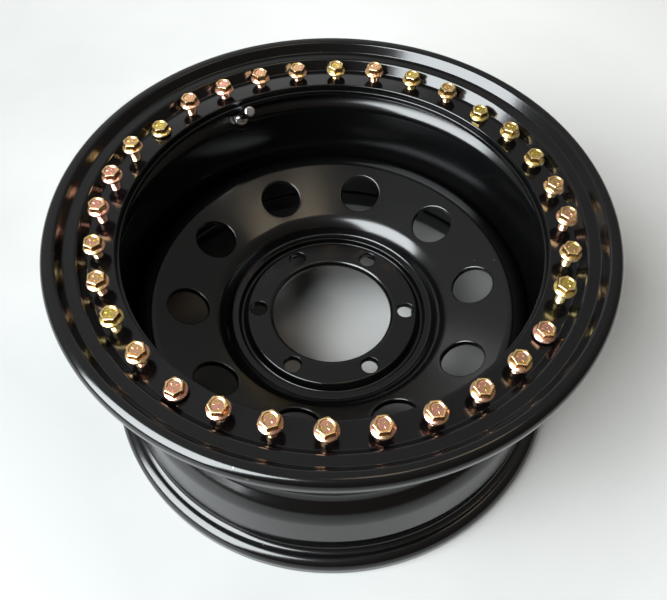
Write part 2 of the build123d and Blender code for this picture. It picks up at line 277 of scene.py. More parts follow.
class Strip:
    """A straight part of a section between two radii, seen as a cone."""

    def __init__(self, segs, index):
        a, b = segs[index][0], segs[index][1]
        self.nor = segs[index][2]
        self.flip = a[0] > b[0]
        self.lo_i, self.hi_i = (index + 1, index) if self.flip else (index, index + 1)
        if self.flip:
            a, b = b, a
        self.a, self.b = a, b
        self.k = (b[1] - a[1]) / (b[0] - a[0])

    def at(self, th, r):
        pos = np.stack([r * np.cos(th), r * np.sin(th), self.a[1] + self.k * (r - self.a[0])], -1)
        nor = np.stack([self.nor[0] * np.cos(th), self.nor[0] * np.sin(th), np.full_like(th, self.nor[1])], -1)
        return pos, nor

    def height(self, c, e, n, s):
        """Height along n at which the point c + s e + h n meets this cone."""
        h = np.zeros(len(e))
        for _ in range(8):
            p = c + s[:, None] * e + h[:, None] * n
            r = np.hypot(p[:, 0], p[:, 1])
            f = p[:, 2] - self.a[1] - self.k * (r - self.a[0])
            g = n[2] - self.k * (p[:, 0] * n[0] + p[:, 1] * n[1]) / r
            h = h - f / g
        return h


def pierce(skin, segs, ring, th, top, bottom, holes, first, side, layers, wall):
    """Round holes through the two faces of a wall. holes is their number, first the azimuth column of the first
    sector, side the points on each sector's radial edge, layers the loops on each face between edge and hole, and
    wall(phi, az) gives the loops from the top face to the bottom face with their normals."""
    count = ring.shape[1]
    m = count // holes
    nseg = len(segs)
    strips = [Strip(segs, top), Strip(segs, bottom)]
    edges = []
    for st in strips:
        rows = []
        for h in range(holes):
            c = (first + h * m) % count
            r = st.a[0] + (st.b[0] - st.a[0]) * np.arange(1, side + 1) / (side + 1)
            pos, _ = st.at(np.full(side, th[c]), r)
            rows.append((skin.add(pos), r))
        edges.append(rows)
    for h in range(holes):
        c0 = first + h * m
        cols = np.arange(c0, c0 + m + 1)
        ang = th[0] + TAU * cols / count
        az = th[0] + TAU * (c0 + m / 2) / count
        bounds = []
        for st, rows in zip(strips, edges):
            lo, hi = ring[st.lo_i % nseg][cols % count], ring[st.hi_i % nseg][cols % count]
            here, r_here = rows[h]
            there, r_there = rows[(h + 1) % holes]
            idx = np.concatenate([lo, there, hi[::-1], here[::-1]])
            tt = np.concatenate([ang, np.full(side, ang[-1]), ang[::-1], np.full(side, ang[0])])
            rr = np.concatenate([np.full(m + 1, st.a[0]), r_there, np.full(m + 1, st.b[0]), r_here[::-1]])
            bounds.append((idx, tt, rr))
        idx, tt, rr = bounds[0]
        pos, nor = strips[0].at(tt, rr)
        chain = wall(pos, az)
        loops = [(idx, nor)]
        for st, (bi, bt, br), inner, into in ((strips[0], bounds[0], chain[0][0], True),
                                              (strips[1], bounds[1], chain[-1][0], False)):
            ti = az + (np.arctan2(inner[:, 1], inner[:, 0]) - az + math.pi) % TAU - math.pi
            ri = np.hypot(inner[:, 0], inner[:, 1])
            steps = [(j / layers) ** 0.75 for j in range(1, layers)]
            made = []
            for f in (steps if into else steps[::-1]):
                p, q = st.at(bt + f * (ti - bt), br + f * (ri - br))
                made.append((skin.add(p), q))
            if into:
                loops += made
                loops += [(skin.add(p), q) for p, q in chain]
            else:
                _, q = st.at(bt, br)
                loops += made + [(bi, q)]
        for (a, na), (b, nb) in zip(loops, loops[1:]):
            skin.loops(a, b, na, nb)


def hole_frame(r, az, z, tilt):
    c = np.array([r * math.cos(az), r * math.sin(az), z])
    n = np.array([-math.cos(az) * math.sin(tilt), -math.sin(az) * math.sin(tilt), math.cos(tilt)])
    t = np.array([-math.sin(az), math.cos(az), 0.0])
    return c, n, t, np.cross(t, n)


def plain_hole(r, z, line, radii, step=22.0):
    """Wall loops of an upright hole whose half section is given from its bottom mouth to its top mouth."""
    segs = section(line, radii, step=step, closed=False)[1:-1]
    segs = segs[::-1]

    def wall(pos, az):
        c, n, t, m = hole_frame(r, az, z, 0.0)
        phi = np.arctan2((pos - c) @ m, (pos - c) @ t)
        e = np.cos(phi)[:, None] * t + np.sin(phi)[:, None] * m
        out = []
        for (a, b, na, nb, _) in segs:
            out.append((c + b[0] * e + b[1] * n, nb[0] * e + nb[1] * n))
        a, na = segs[-1][0], segs[-1][2]
        out.append((c + a[0] * e + a[1] * n, na[0] * e + na[1] * n))
        return out
    return wall


# ---------------------------------------------------------------------------
# rim barrel with its valve pad
# ---------------------------------------------------------------------------
def barrel():
    skin = Skin()
    count = 400
    segs = band(RIM_PATH, RIM_RAD, RIM_T, ((0.3, 1.8), (0.3, 1.6)), step=7.5, span=7.0)
    start = VALVE_AZ % (TAU / count)
    mid = int(round((VALVE_AZ - start) / (TAU / count)))
    half = 6
    pts = np.array([s[0] for s in segs])
    nor2 = np.array([s[2] for s in segs])

    def nearest(z, inside):
        ok = (nor2[:, 0] < -0.1) if inside else (nor2[:, 0] > 0.1)
        ok &= (pts[:, 0] < 197) & (pts[:, 1] > 120)
        cand = np.where(ok)[0]
        return int(cand[np.argmin(abs(pts[cand, 1] - z))])

    in_a, in_b = nearest(161.0, True), nearest(192.1, True)
    out_a, out_b = nearest(161.0, False), nearest(189.6, False)
    cols = np.arange(mid - half, mid + half) % count
    skip = {i: cols for i in range(in_a, in_b)}
    skip.update({i: cols for i in range(out_b, out_a)})
    ring, th = spin(skin, segs, count, start, skip)
    span = np.arange(mid - half, mid + half + 1) % count

    def inner_gap(r, z):
        wall = 180.0 - r
        flank = ((z - 181.004) - (r - 180.0)) * S45
        along = ((r - 180.0) + (z - 181.004)) * S45
        arc = np.hypot(r - 192.5, z - 175.826) - 12.5
        return np.where(z < 175.826, wall, np.where(along > 5.178, flank, arc))

    def outer_gap(r, z):
        wall = r - 184.5
        flank = ((r - 184.5) - (z - 179.14)) * S45
        along = ((r - 184.5) + (z - 179.14)) * S45
        arc = 8.0 - np.hypot(r - 192.5, z - 175.826)
        return -np.where(z < 175.826, wall, np.where(along > 3.314, flank, arc))

    def face(gap, flat, rise, fall):
        def at(x, y):
            v = np.zeros_like(x) if flat > -3 else np.full_like(x, -4.5)
            base = V_ORG + x[:, None] * V_TAN + y[:, None] * V_MER
            for _ in range(14):
                def f(w):
                    p = base + w[:, None] * V_DIR
                    return gap(np.hypot(p[:, 0], p[:, 1]), p[:, 2])
                d = (f(v + 1e-3) - f(v - 1e-3)) / 2e-3
                v = v - np.clip(f(v) / np.where(abs(d) < 0.2, 0.2, d), -3, 3)
            rho = np.hypot(x, y)
            w = np.clip((rho - rise) / (fall - rise), 0, 1)
            w = 1 - w * w * w * (w * (6 * w - 15) + 10)
            v = v + (flat - v) * w
            return base + v[:, None] * V_DIR
        return at

    def patch(a, b, at, hole_r, steps, sign):
        """Loops from the edge of the window to the hole."""
        low, high = min(a, b), max(a, b)
        up = list(range(a + 1, b)) if a < b else list(range(a - 1, b, -1))
        idx = np.concatenate([ring[a][span], [ring[i][span[-1]] for i in up], ring[b][span][::-1],
                              [ring[i][span[0]] for i in up[::-1]]]).astype(int)
        flat_co = np.concatenate(skin.co)
        pos = flat_co[idx]
        x0, y0 = (pos - V_ORG) @ V_TAN, (pos - V_ORG) @ V_MER
        phi = np.arctan2(y0, x0)
        x1, y1 = hole_r * np.cos(phi), hole_r * np.sin(phi)

        def normal(x, y):
            e = 0.02
            du = at(x + e, y) - at(x - e, y)
            dv = at(x, y + e) - at(x, y - e)
            n = np.cross(du, dv)
            n /= np.linalg.norm(n, axis=1, keepdims=True)
            return n * np.where((n @ V_DIR) * sign > 0, 1.0, -1.0)[:, None]

        edge_n = np.zeros((len(idx), 3))
        rows = np.concatenate([[a] * len(span), up, [b] * len(span), up[::-1]]).astype(int)
        az = np.arctan2(pos[:, 1], pos[:, 0])
        edge_n = np.stack([nor2[rows, 0] * np.cos(az), nor2[rows, 0] * np.sin(az), nor2[rows, 1]], -1)
        out = [(idx, edge_n)]
        for k in range(1, steps + 1):
            f = (k / steps) ** 0.85
            x, y = x0 + f * (x1 - x0), y0 + f * (y1 - y0)
            out.append((at(x, y), normal(x, y)))
        return out, phi

    inside, phi = patch(in_a, in_b, face(inner_gap, -1.0, 7.6, 11.1), 5.95, 20, 1)
    outside, _ = patch(out_a, out_b, face(outer_gap, -5.5, 7.9, 12.0), 5.95, 14, -1)
    chain = [(inside[0][0], inside[0][1])] + [(skin.add(p), n) for p, n in inside[1:]]
    e = np.cos(phi)[:, None] * V_TAN + np.sin(phi)[:, None] * V_MER
    for rr, v, a in ((5.81, -1.06, 45), (5.75, -1.2, 90), (5.75, -5.3, 90), (5.81, -5.44, 135)):
        a = math.radians(a)
        chain.append((skin.add(V_ORG + rr * e + v * V_DIR), -math.sin(a) * e + math.cos(a) * V_DIR))
    chain += [(skin.add(p), n) for p, n in outside[:0:-1]] + [(outside[0][0], outside[0][1])]
    for (a, na), (b, nb) in zip(chain, chain[1:]):
        skin.loops(a, b, na, nb)
    return skin.build("rim_barrel_skin")


# ---------------------------------------------------------------------------
# centre disc with lug holes and vents
# ---------------------------------------------------------------------------
def disc():
    skin = Skin()
    count = 360
    tilt = math.atan(CONE_SLOPE)
    vent_z = 99.33 + CONE_SLOPE * (VENT_RING_R - 102.5)
    under = (VENT_RING_R + DISC_T * math.sin(tilt), vent_z - DISC_T * math.cos(tilt))
    segs = band(DISC_PATH, DISC_RAD, DISC_T, ((4.0, 0.8), (0.5, 1.2)), step=5.0, span=8.0, sag=0.02,
                keep=((LUG_R, 89.0), (LUG_R, 83.0), (VENT_RING_R, vent_z), under))
    start = math.radians(VENT_CLOCK) % (TAU / count)
    whole = [i for i, s in enumerate(segs) if s[4]]
    by = {}
    for i in whole:
        mid = ((segs[i][0][0] + segs[i][1][0]) / 2, segs[i][2][1] > 0)
        by[("lug" if mid[0] < 100 else "vent", mid[1])] = i
    ring, th = spin(skin, segs, count, start, {i: np.arange(count) for i in whole})

    # the lug circle starts a little off the ring's columns, so its sectors are set to the nearest column
    lug_first = int(round((0.0 - start) / (TAU / count))) - 30
    seat_h = (LUG_SEAT_R - LUG_HOLE_R) / math.tan(math.radians(30))
    lug_wall = plain_hole(LUG_R, 89.0, [(12, -6.0), (LUG_HOLE_R, -6.0), (LUG_HOLE_R, -seat_h), (LUG_SEAT_R, 0.0), (12, 0.0)],
                          [0, 0.4, 0.8, 0.7, 0])
    pierce(skin, segs, ring, th, by[("lug", True)], by[("lug", False)], 6, lug_first % count, 6, 4, lug_wall)

    top, bot = Strip(segs, by[("vent", True)]), Strip(segs, by[("vent", False)])

    def vent_wall(pos, az):
        c, n, t, m = hole_frame(VENT_RING_R, az, vent_z, tilt)
        phi = np.arctan2((pos - c) @ m, (pos - c) @ t)
        e = np.cos(phi)[:, None] * t + np.sin(phi)[:, None] * m
        rho = VENT_EDGE
        s_c = np.full(len(phi), VENT_R + rho)
        loops = []
        for strip, sign in ((top, 1.0), (bot, -1.0)):
            s_t = s_c.copy()
            for _ in range(6):
                h = strip.height(c, e, n, s_t)
                painted_falloff = (strip.height(c, e, n, s_t + 0.01) - strip.height(c, e, n, s_t - 0.01)) / 0.02
                ln = np.hypot(1.0, painted_falloff)
                ns, nh = -sign * painted_falloff / ln, sign / ln
                s_t = s_c + rho * ns
            h_c = strip.height(c, e, n, s_t) - rho * nh
            a0 = np.arctan2(nh, ns)
            a1 = np.full_like(a0, math.pi) if sign > 0 else np.full_like(a0, -math.pi)
            arc = []
            for k in range(8):
                a = a0 + (a1 - a0) * k / 7
                arc.append((c + (s_c + rho * np.cos(a))[:, None] * e + (h_c + rho * np.sin(a))[:, None] * n,
                            np.cos(a)[:, None] * e + np.sin(a)[:, None] * n))
            loops.append(arc)
        return loops[0] + loops[1][::-1]

    vent_first = int(round((math.radians(VENT_CLOCK) - start) / (TAU / count))) - 18
    pierce(skin, segs, ring, th, by[("vent", True)], by[("vent", False)], 10, vent_first % count, 14, 6, vent_wall)
    return skin.build("wheel_disc_skin")


# ---------------------------------------------------------------------------
# bead ring and clamp ring
# ---------------------------------------------------------------------------
def ring_start(count):
    m = count // BOLT_COUNT
    return (math.radians(BOLT_CLOCK) - TAU * (m / 2) / count) % (TAU / count)


def ring_first(count, start):
    m = count // BOLT_COUNT
    return int(round((math.radians(BOLT_CLOCK) - TAU * (m / 2) / count - start) / (TAU / count))) % count


def bead_ring():
    skin = Skin()
    count = 384
    segs = section(RING_POINTS, RING_RAD, step=15.0, span=8.0, keep=((BOLT_RING_R, 208.0), (BOLT_RING_R, 200.0)))
    whole = {segs[i][2][1] > 0: i for i in range(len(segs)) if segs[i][4]}
    start = ring_start(count)
    ring, th = spin(skin, segs, count, start, {i: np.arange(count) for i in whole.values()})
    wall = plain_hole(BOLT_RING_R, 208.0, [(9, -8.0), (4.05, -8.0), (4.05, 0.0), (9, 0.0)], [0, 0.6, 0.6, 0], step=46)
    pierce(skin, segs, ring, th, whole[True], whole[False], BOLT_COUNT, ring_first(count, start), 6, 3, wall)
    return skin.build("bead_ring_skin")


def clamp_ring():
    skin = Skin()
    count = 384
    segs = band(CLAMP_PATH, CLAMP_RAD, CLAMP_T, ((1.3, 1.4), (1.0, 1.4)), step=5.0, span=6.0, sag=0.012,
                keep=((BOLT_RING_R, 213.0), (BOLT_RING_R, 208.0)))
    whole = {segs[i][2][1] > 0: i for i in range(len(segs)) if segs[i][4]}
    start = ring_start(count)
    ring, th = spin(skin, segs, count, start, {i: np.arange(count) for i in whole.values()})
    wall = plain_hole(BOLT_RING_R, 213.0, [(9, -5.0), (4.5, -5.0), (4.5, 0.0), (9, 0.0)], [0, 0.4, 0.5, 0], step=23)
    pierce(skin, segs, ring, th, whole[True], whole[False], BOLT_COUNT, ring_first(count, start), 7, 5, wall)
    return skin.build("clamp_ring_skin")


# ---------------------------------------------------------------------------
# hex flange bolts
# ---------------------------------------------------------------------------
def hex_outline(af, corner_r, arc=4, flat=3):
    """Rounded hexagon: points and outward normals, anticlockwise."""
    pts, nor = [], []
    inset = af / 2 - corner_r
    for k in range(6):
        a = math.radians(60 * k + 30)
        cx, cy = inset / math.cos(math.radians(30)) * math.cos(a), inset / math.cos(math.radians(30)) * math.sin(a)
        for j in range(arc):
            b = math.radians(60 * k + 60 * j / (arc - 1))
            pts.append((cx + corner_r * math.cos(b), cy + corner_r * math.sin(b)))
            nor.append((math.cos(b), math.sin(b)))
        b = math.radians(60 * k + 60)
        a2 = math.radians(60 * k + 90)
        ex = inset / math.cos(math.radians(30)) * math.cos(a2) + corner_r * math.cos(b)
        ey = inset / math.cos(math.radians(30)) * math.sin(a2) + corner_r * math.sin(b)
        sx, sy = pts[-1]
        for j in range(1, flat + 1):
            f = j / (flat + 1)
            pts.append((sx + f * (ex - sx), sy + f * (ey - sy)))
            nor.append((math.cos(b), math.sin(b)))
    return np.array(pts), np.array(nor)


def lathe_loops(skin, rows, phi, zone=0.0):
    """rows are (radius, z, normal r, normal z) going from the top centre outwards and down; each may be arrays."""
    made = []
    for row in rows:
        r, z, nr, nz = (np.broadcast_to(np.asarray(v, float), phi.shape) for v in row[:4])
        tag = row[4] if len(row) > 4 else zone
        co = np.stack([r * np.cos(phi), r * np.sin(phi), z], -1)
        nor = np.stack([nr * np.cos(phi), nr * np.sin(phi), nz], -1)
        made.append((skin.add(co, zone=tag), nor))
    return made


def thread(skin, phi, z0, z1, major, minor, pitch, per, zone, fade=1.2):
    """Loops of a screw thread going down from z0 to z1."""
    made = []
    n = max(2, int(round((z0 - z1) / pitch * per)))
    for k in range(n + 1):
        z = z0 + (z1 - z0) * k / n

        def radius(a, w):
            ph = (w / pitch - a / TAU) % 1.0
            tri = 1 - abs(2 * ph - 1)
            tri = np.clip((tri - 0.12) / 0.72, 0, 1)
            lim = np.clip(min((z0 - w) / fade, (w - z1) / fade), 0, 1)
            return minor + (major - minor) * (tri * lim)
        r = radius(phi, z)
        dz = (radius(phi, z + 0.02) - radius(phi, z - 0.02)) / 0.04
        da = (radius(phi + 0.01, z) - radius(phi - 0.01, z)) / 0.02
        n3 = np.stack([np.cos(phi) + da / r * np.sin(phi), np.sin(phi) - da / r * np.cos(phi), -dz], -1)
        n3 /= np.linalg.norm(n3, axis=1, keepdims=True)
        co = np.stack([r * np.cos(phi), r * np.sin(phi), np.full_like(phi, z)], -1)
        made.append((skin.add(co, zone=zone), n3))
    return made


def stitch(skin, rows):
    """Quads between successive loops that go from the top centre outwards and down."""
    for (a, na), (b, nb) in zip(rows, rows[1:]):
        skin.loops(a, b, na, nb)


def unit_normals(n):
    return n / np.linalg.norm(n, axis=-1, keepdims=True)


def bolt_skin():
    skin = Skin()
    af = 12.7
    out, out_n = hex_outline(af, 0.5)
    phi = np.arctan2(out[:, 1], out[:, 0])
    r_out = np.hypot(out[:, 0], out[:, 1])
    # zone tags choose the zinc colour band: the dish rising to its rim (up to 0.62) gets painted highlight, and the
    # hex side facets and foot (0.7 to 0.88) get painted shade
    rows = lathe_loops(skin, [
        (0.05, 7.0, 0, 1, 0.0), (3.9, 7.0, 0, 1, 0.0), (4.2, 7.03, -0.2, 0.98, 0.08), (4.45, 7.13, -0.5, 0.866, 0.2),
        (4.65, 7.3, -0.7, 0.714, 0.32), (4.82, 7.5, -0.74, 0.67, 0.42), (5.0, 7.66, -0.6, 0.8, 0.5), (5.2, 7.76, -0.33, 0.94, 0.55),
        (5.4, 7.8, -0.1, 0.995, 0.6), (5.6, 7.8, 0.04, 1, 0.62)], phi)
    skin.cap(rows[0][0], (0, 0, 1))
    side_n = np.stack([out_n[:, 0], out_n[:, 1], np.zeros(len(phi))], -1)
    top_n = np.array([0, 0, 1.0])

    def on_outline(z, grow=0.0, zone=0.7):
        k = 1 + grow / (af / 2)
        co = np.stack([out[:, 0] * k, out[:, 1] * k, np.broadcast_to(z, phi.shape)], -1)
        return skin.add(co, zone=zone)
    # rounded edge of the hexagon, lower at the corners; its zone tags (0.64 to 0.70) give it the zinc ramp's painted
    # highlight
    edge_r = 0.75
    z_edge = 7.8 - 0.36 * np.maximum(0.0, r_out - 6.35)
    for a in (80, 62, 44, 26, 10, 0):
        c, d = math.cos(math.radians(a)), math.sin(math.radians(a))
        rows.append((on_outline(z_edge - edge_r * (1 - d), -edge_r * (1 - c), 0.64 + 0.06 * (1 - d)), unit_normals(c * side_n + d * top_n)))
    # foot of the hexagon on the flange cone
    z_foot = 3.2 - (r_out - 6.2) * 0.62
    fl = unit_normals(np.array([0.53, 0.848]))
    f_n = np.stack([fl[0] * np.cos(phi), fl[0] * np.sin(phi), np.full_like(phi, fl[1])], -1)
    rows.append((on_outline(z_foot + 0.3, 0.0, 0.8), side_n))
    rows.append((on_outline(z_foot + 0.08, 0.06, 0.84), unit_normals(side_n + f_n)))
    rows.append((on_outline(z_foot - 0.06, 0.22, 0.88), f_n))
    rows += lathe_loops(skin, [
        (8.05, 2.03, fl[0], fl[1], 0.95), (8.35, 1.8, 0.64, 0.77, 1.0), (8.6, 1.5, 0.84, 0.54, 1.0), (8.74, 1.15, 0.98, 0.2, 1.0),
        (8.75, 0.9, 1, 0, 1.0), (8.75, 0.5, 1, -0.1, 1.0), (8.62, 0.2, 0.7, -0.7, 1.0), (8.3, 0.02, 0.1, -0.99, 1.0),
        (8.0, 0.0, 0, -1, 1.0), (4.9, 0.0, 0, -1, 1.0), (4.35, -0.12, 0.4, -0.9, 1.0), (4.02, -0.5, 0.9, -0.4, 1.2),
        (3.95, -1.0, 1, 0, 1.2)], phi)
    rows += thread(skin, phi, -1.3, -19.2, 3.99, 3.38, 1.25, 5, 1.2)
    rows += lathe_loops(skin, [(3.25, -19.5, 0.7, -0.7, 1.2), (2.9, -20.0, 0.5, -0.86, 1.2), (2.7, -20.0, 0, -1, 1.2),
                               (0.05, -20.0, 0, -1, 1.2)], phi)
    skin.cap(rows[-1][0][::-1], (0, 0, -1))
    stitch(skin, rows)
    # three plain raised bars in the dish
    for k in range(3):
        a = math.radians(120 * k + 20)
        bar = Skin()
        n = 14
        ph = TAU * np.arange(n) / n
        for lift in (0,):
            loops = []
            for grow, z, nz in ((0.0, -0.1, 0.0), (0.0, 0.1, 0.2), (-0.09, 0.22, 0.75), (-0.2, 0.25, 1.0)):
                x = np.where(np.cos(ph) > 0, 0.75, -0.75) + (0.36 + grow) * np.cos(ph)
                y = (0.36 + grow) * np.sin(ph)
                co = np.stack([x, y, np.full(n, z)], -1)
                nr = math.sqrt(1 - nz * nz)
                nor = np.stack([nr * np.cos(ph), nr * np.sin(ph), np.full(n, nz)], -1)
                loops.append((bar.add(co, zone=0.05), nor))
            stitch(bar, loops[::-1])
            bar.cap(loops[-1][0], (0, 0, 1))
            bar.cap(loops[0][0][::-1], (0, 0, -1))
        mat = np.eye(4)
        mat[:3, :3] = [[math.cos(a), -math.sin(a), 0], [math.sin(a), math.cos(a), 0], [0, 0, 1]]
        mat[:3, 3] = [2.3 * math.cos(a), 2.3 * math.sin(a), 7.0]
        skin.place(bar, mat)
    return skin


def bolts():
    one = bolt_skin()
    groups = [Skin(), Skin()]
    for k in range(BOLT_COUNT):
        a = math.radians(BOLT_CLOCK - 360 / BOLT_COUNT * k)
        t = math.radians(BOLT_TURN[k])
        mat = np.eye(4)
        mat[:3, :3] = [[math.cos(t), -math.sin(t), 0], [math.sin(t), math.cos(t), 0], [0, 0, 1]]
        mat[:3, 3] = [BOLT_RING_R * math.cos(a), BOLT_RING_R * math.sin(a), LAND_Z + BOLT_GAP[k]]
        groups[k // 16].place(one, mat, tone=BOLT_TONE[k])
    return [g.build(f"ring_bolts_skin_{i + 1}") for i, g in enumerate(groups)]


# ---------------------------------------------------------------------------
# valve hardware
# ---------------------------------------------------------------------------
V_MAT = np.eye(4)
V_MAT[:3, 0], V_MAT[:3, 1], V_MAT[:3, 2], V_MAT[:3, 3] = V_TAN, np.cross(V_DIR, V_TAN), V_DIR, V_ORG


def on_valve(skin, name):
    out = Skin()
    out.place(skin, V_MAT)
    return out.build(name)


def valve_nut():
    skin = Skin()
    out, out_n = hex_outline(11.0, 0.5, arc=4, flat=3)
    phi = np.arctan2(out[:, 1], out[:, 0])
    r_out = np.hypot(out[:, 0], out[:, 1])
    side_n = np.stack([out_n[:, 0], out_n[:, 1], np.zeros(len(phi))], -1)

    def on_outline(z, grow=0.0):
        co = np.stack([out[:, 0] + grow * out_n[:, 0], out[:, 1] + grow * out_n[:, 1], np.broadcast_to(z, phi.shape)], -1)
        return skin.add(co, zone=0.5)
    c_n = np.stack([0.48 * np.cos(phi), 0.48 * np.sin(phi), np.full_like(phi, 0.877)], -1)
    rows = lathe_loops(skin, [(4.02, 0.3, 0, -1), (4.02, 0.31, -1, 0), (4.02, 6.3, -1, 0), (4.25, 6.72, -0.6, 0.8), (4.5, 6.88, -0.1, 0.99),
                              (4.75, 6.88, 0.15, 0.99), (4.95, 6.78, 0.48, 0.877)], phi, 0.5)
    rows = rows[1:]
    z_edge = 6.78 - (r_out - 4.95) * 0.55
    rows += [(on_outline(z_edge + 0.06, -0.1), c_n), (on_outline(z_edge - 0.04, -0.03), unit_normals(c_n + side_n)),
             (on_outline(z_edge - 0.16), side_n), (on_outline(0.9), side_n)]
    rows += [(on_outline(0.5, -0.05), unit_normals(side_n + np.array([0, 0, -0.6]))),
             (on_outline(0.32, -0.3), np.broadcast_to([0, 0, -1.0], (len(phi), 3)))]
    rows.append((rows[0][0], np.broadcast_to([0, 0, -1.0], (len(phi), 3))))
    stitch(skin, rows)
    return on_valve(skin, "valve_nut_skin")


def valve_cap():
    skin = Skin()
    n = 108
    phi = TAU * np.arange(n) / n
    lobes = 0.5 + 0.5 * np.cos(18 * phi)
    notch = 0.34 * np.clip(lobes, 0, 1) ** 1.6

    def outer(v, depth, r):
        rr = r - notch * depth
        da = np.gradient(rr, TAU / n)
        nor = np.stack([np.cos(phi) + da / rr * np.sin(phi), np.sin(phi) - da / rr * np.cos(phi), np.zeros(n)], -1)
        co = np.stack([rr * np.cos(phi), rr * np.sin(phi), np.full(n, v)], -1)
        return co, unit_normals(nor)
    rows = lathe_loops(skin, [(0.05, 38.6, 0, 1), (2.6, 38.58, 0.05, 1), (3.5, 38.5, 0.16, 0.99)], phi, 0.5)
    skin.cap(rows[0][0], (0, 0, 1))
    for v, depth, r, tilt in ((38.3, 0.3, 4.25, 0.85), (38.0, 0.7, 4.6, 0.5), (37.6, 1.0, 4.77, 0.15), (37.2, 1.0, 4.8, 0.0), (29.2, 1.0, 4.8, 0.0),
                              (28.7, 0.5, 4.8, 0.0), (28.35, 0.0, 4.8, 0.0), (27.9, 0.0, 4.8, 0.0), (27.75, 0, 4.62, 0.0), (27.5, 0, 4.62, 0.0),
                              (27.35, 0.0, 4.8, 0.0), (26.8, 0.0, 4.8, 0.0), (26.55, 0.0, 4.72, -0.4), (26.42, 0.0, 4.5, -0.9)):
        co, nor = outer(v, depth, r)
        nor = unit_normals(nor * math.sqrt(max(0.0, 1 - tilt * tilt)) + np.array([0, 0, tilt]))
        rows.append((skin.add(co, zone=0.5), nor))
    rows += lathe_loops(skin, [(4.3, 26.4, 0, -1), (4.1, 26.42, -0.3, -0.95), (3.92, 26.7, -0.95, -0.3), (3.9, 27.2, -1, 0), (3.9, 36.9, -1, 0),
                               (3.85, 37.08, -0.7, -0.7), (3.7, 37.1, 0, -1), (0.05, 37.1, 0, -1)], phi, 0.5)
    skin.cap(rows[-1][0][::-1], (0, 0, -1))
    stitch(skin, rows)
    return on_valve(skin, "valve_cap_skin")


def valve_stem():
    skin = Skin()
    n = 48
    phi = TAU * np.arange(n) / n
    rows = lathe_loops(skin, [(1.5, -11.2, 0, -1), (1.5, -11.19, -1, 0), (1.5, 19.0, -1, 0), (1.52, 19.01, 0, 1), (2.69, 19.01, 0, 1),
                              (2.7, 19.02, -1, 0), (2.7, 35.6, -1, 0), (2.85, 35.9, -0.7, 0.7), (3.05, 36.0, 0, 1), (3.3, 35.95, 0.5, 0.87),
                              (3.42, 35.7, 0.9, 0.4)], phi, 0.5)[1:]
    rows += thread(skin, phi, 35.6, 26.0, 3.83, 3.4, 0.794, 6, 0.5, fade=0.8)
    rows += lathe_loops(skin, [(3.8, 25.7, 0.7, 0.7), (3.98, 25.4, 1, 0), (3.98, -8.4, 1, 0), (4.1, -8.6, 0.5, 0.87), (6.9, -8.62, 0.2, 0.98),
                               (7.2, -8.9, 1, 0.2), (7.2, -10.9, 1, -0.2), (6.9, -11.2, 0.3, -0.95), (6.6, -11.2, 0, -1)], phi, 0.5)
    rows.append((rows[0][0], np.broadcast_to([0, 0, -1.0], (n, 3))))
    stitch(skin, rows)
    return on_valve(skin, "valve_stem_skin")


# ---------------------------------------------------------------------------
# weld beads
# ---------------------------------------------------------------------------
def weld(name, corner, toe_a, toe_b, bulge, arcs, pitch, seed):
    """Rippled fillet welds that fill the corner between two toes, on the given azimuth arcs (degrees)."""
    skin = Skin()
    rng = np.random.default_rng(seed)
    k = 7
    for a0, a1 in arcs:
        closed = a1 - a0 >= 359.99
        r_mid = (toe_a[0] + toe_b[0]) / 2
        n = int(math.radians(a1 - a0) * r_mid / pitch) * 5
        ang = np.radians(a0 + (a1 - a0) * np.arange(n + (0 if closed else 1)) / n)
        ph = (np.arange(len(ang)) % 5) / 5
        wob = np.repeat(rng.normal(0, 0.05, len(ang) // 5 + 1), 5)[:len(ang)]
        swell = 0.72 + 0.42 * np.sqrt(1 - ph) + wob
        if not closed:
            e = np.minimum(np.arange(len(ang)), np.arange(len(ang))[::-1]) / 9
            swell = swell * np.clip(e, 0, 1) ** 0.5
        d = unit(toe_a, toe_b)
        nn = (-d[1], d[0])
        f = np.linspace(0, 1, k)
        prof = [corner] + [(toe_a[0] + g * (toe_b[0] - toe_a[0]), toe_a[1] + g * (toe_b[1] - toe_a[1])) for g in f]
        lift = [0.0] + [math.sin(math.pi * g) for g in f]
        rows = []
        for (r, z), up in zip(prof, lift):
            rr = r + nn[0] * bulge * up * swell
            zz = z + nn[1] * bulge * up * swell
            rows.append(skin.add(np.stack([rr * np.cos(ang), rr * np.sin(ang), zz], -1)))
        for i in range(len(rows)):
            a, b = rows[i], rows[(i + 1) % len(rows)]
            cols = np.arange(len(ang) if closed else len(ang) - 1)
            nxt = (cols + 1) % len(ang)
            skin.quad(np.stack([a[cols], b[cols], b[nxt], a[nxt]], 1), np.zeros((len(cols), 4, 3)) + [0, 0, 1.0])
        if not closed:
            skin.cap([r[0] for r in rows][::-1], (0, 0, 1))
            skin.cap([r[-1] for r in rows], (0, 0, 1))
    co = np.concatenate(skin.co) * MM
    mesh = bpy.data.meshes.new(name)
    mesh.from_pydata(co.tolist(), [], np.concatenate(skin.quads).tolist() + skin.caps)
    mesh.validate()
    mesh.polygons.foreach_set("use_smooth", np.ones(len(mesh.polygons), bool))
    mesh.set_sharp_from_angle(angle=math.radians(60))
    obj = bpy.data.objects.new(name, mesh)
    scene.collection.objects.link(obj)
    return obj


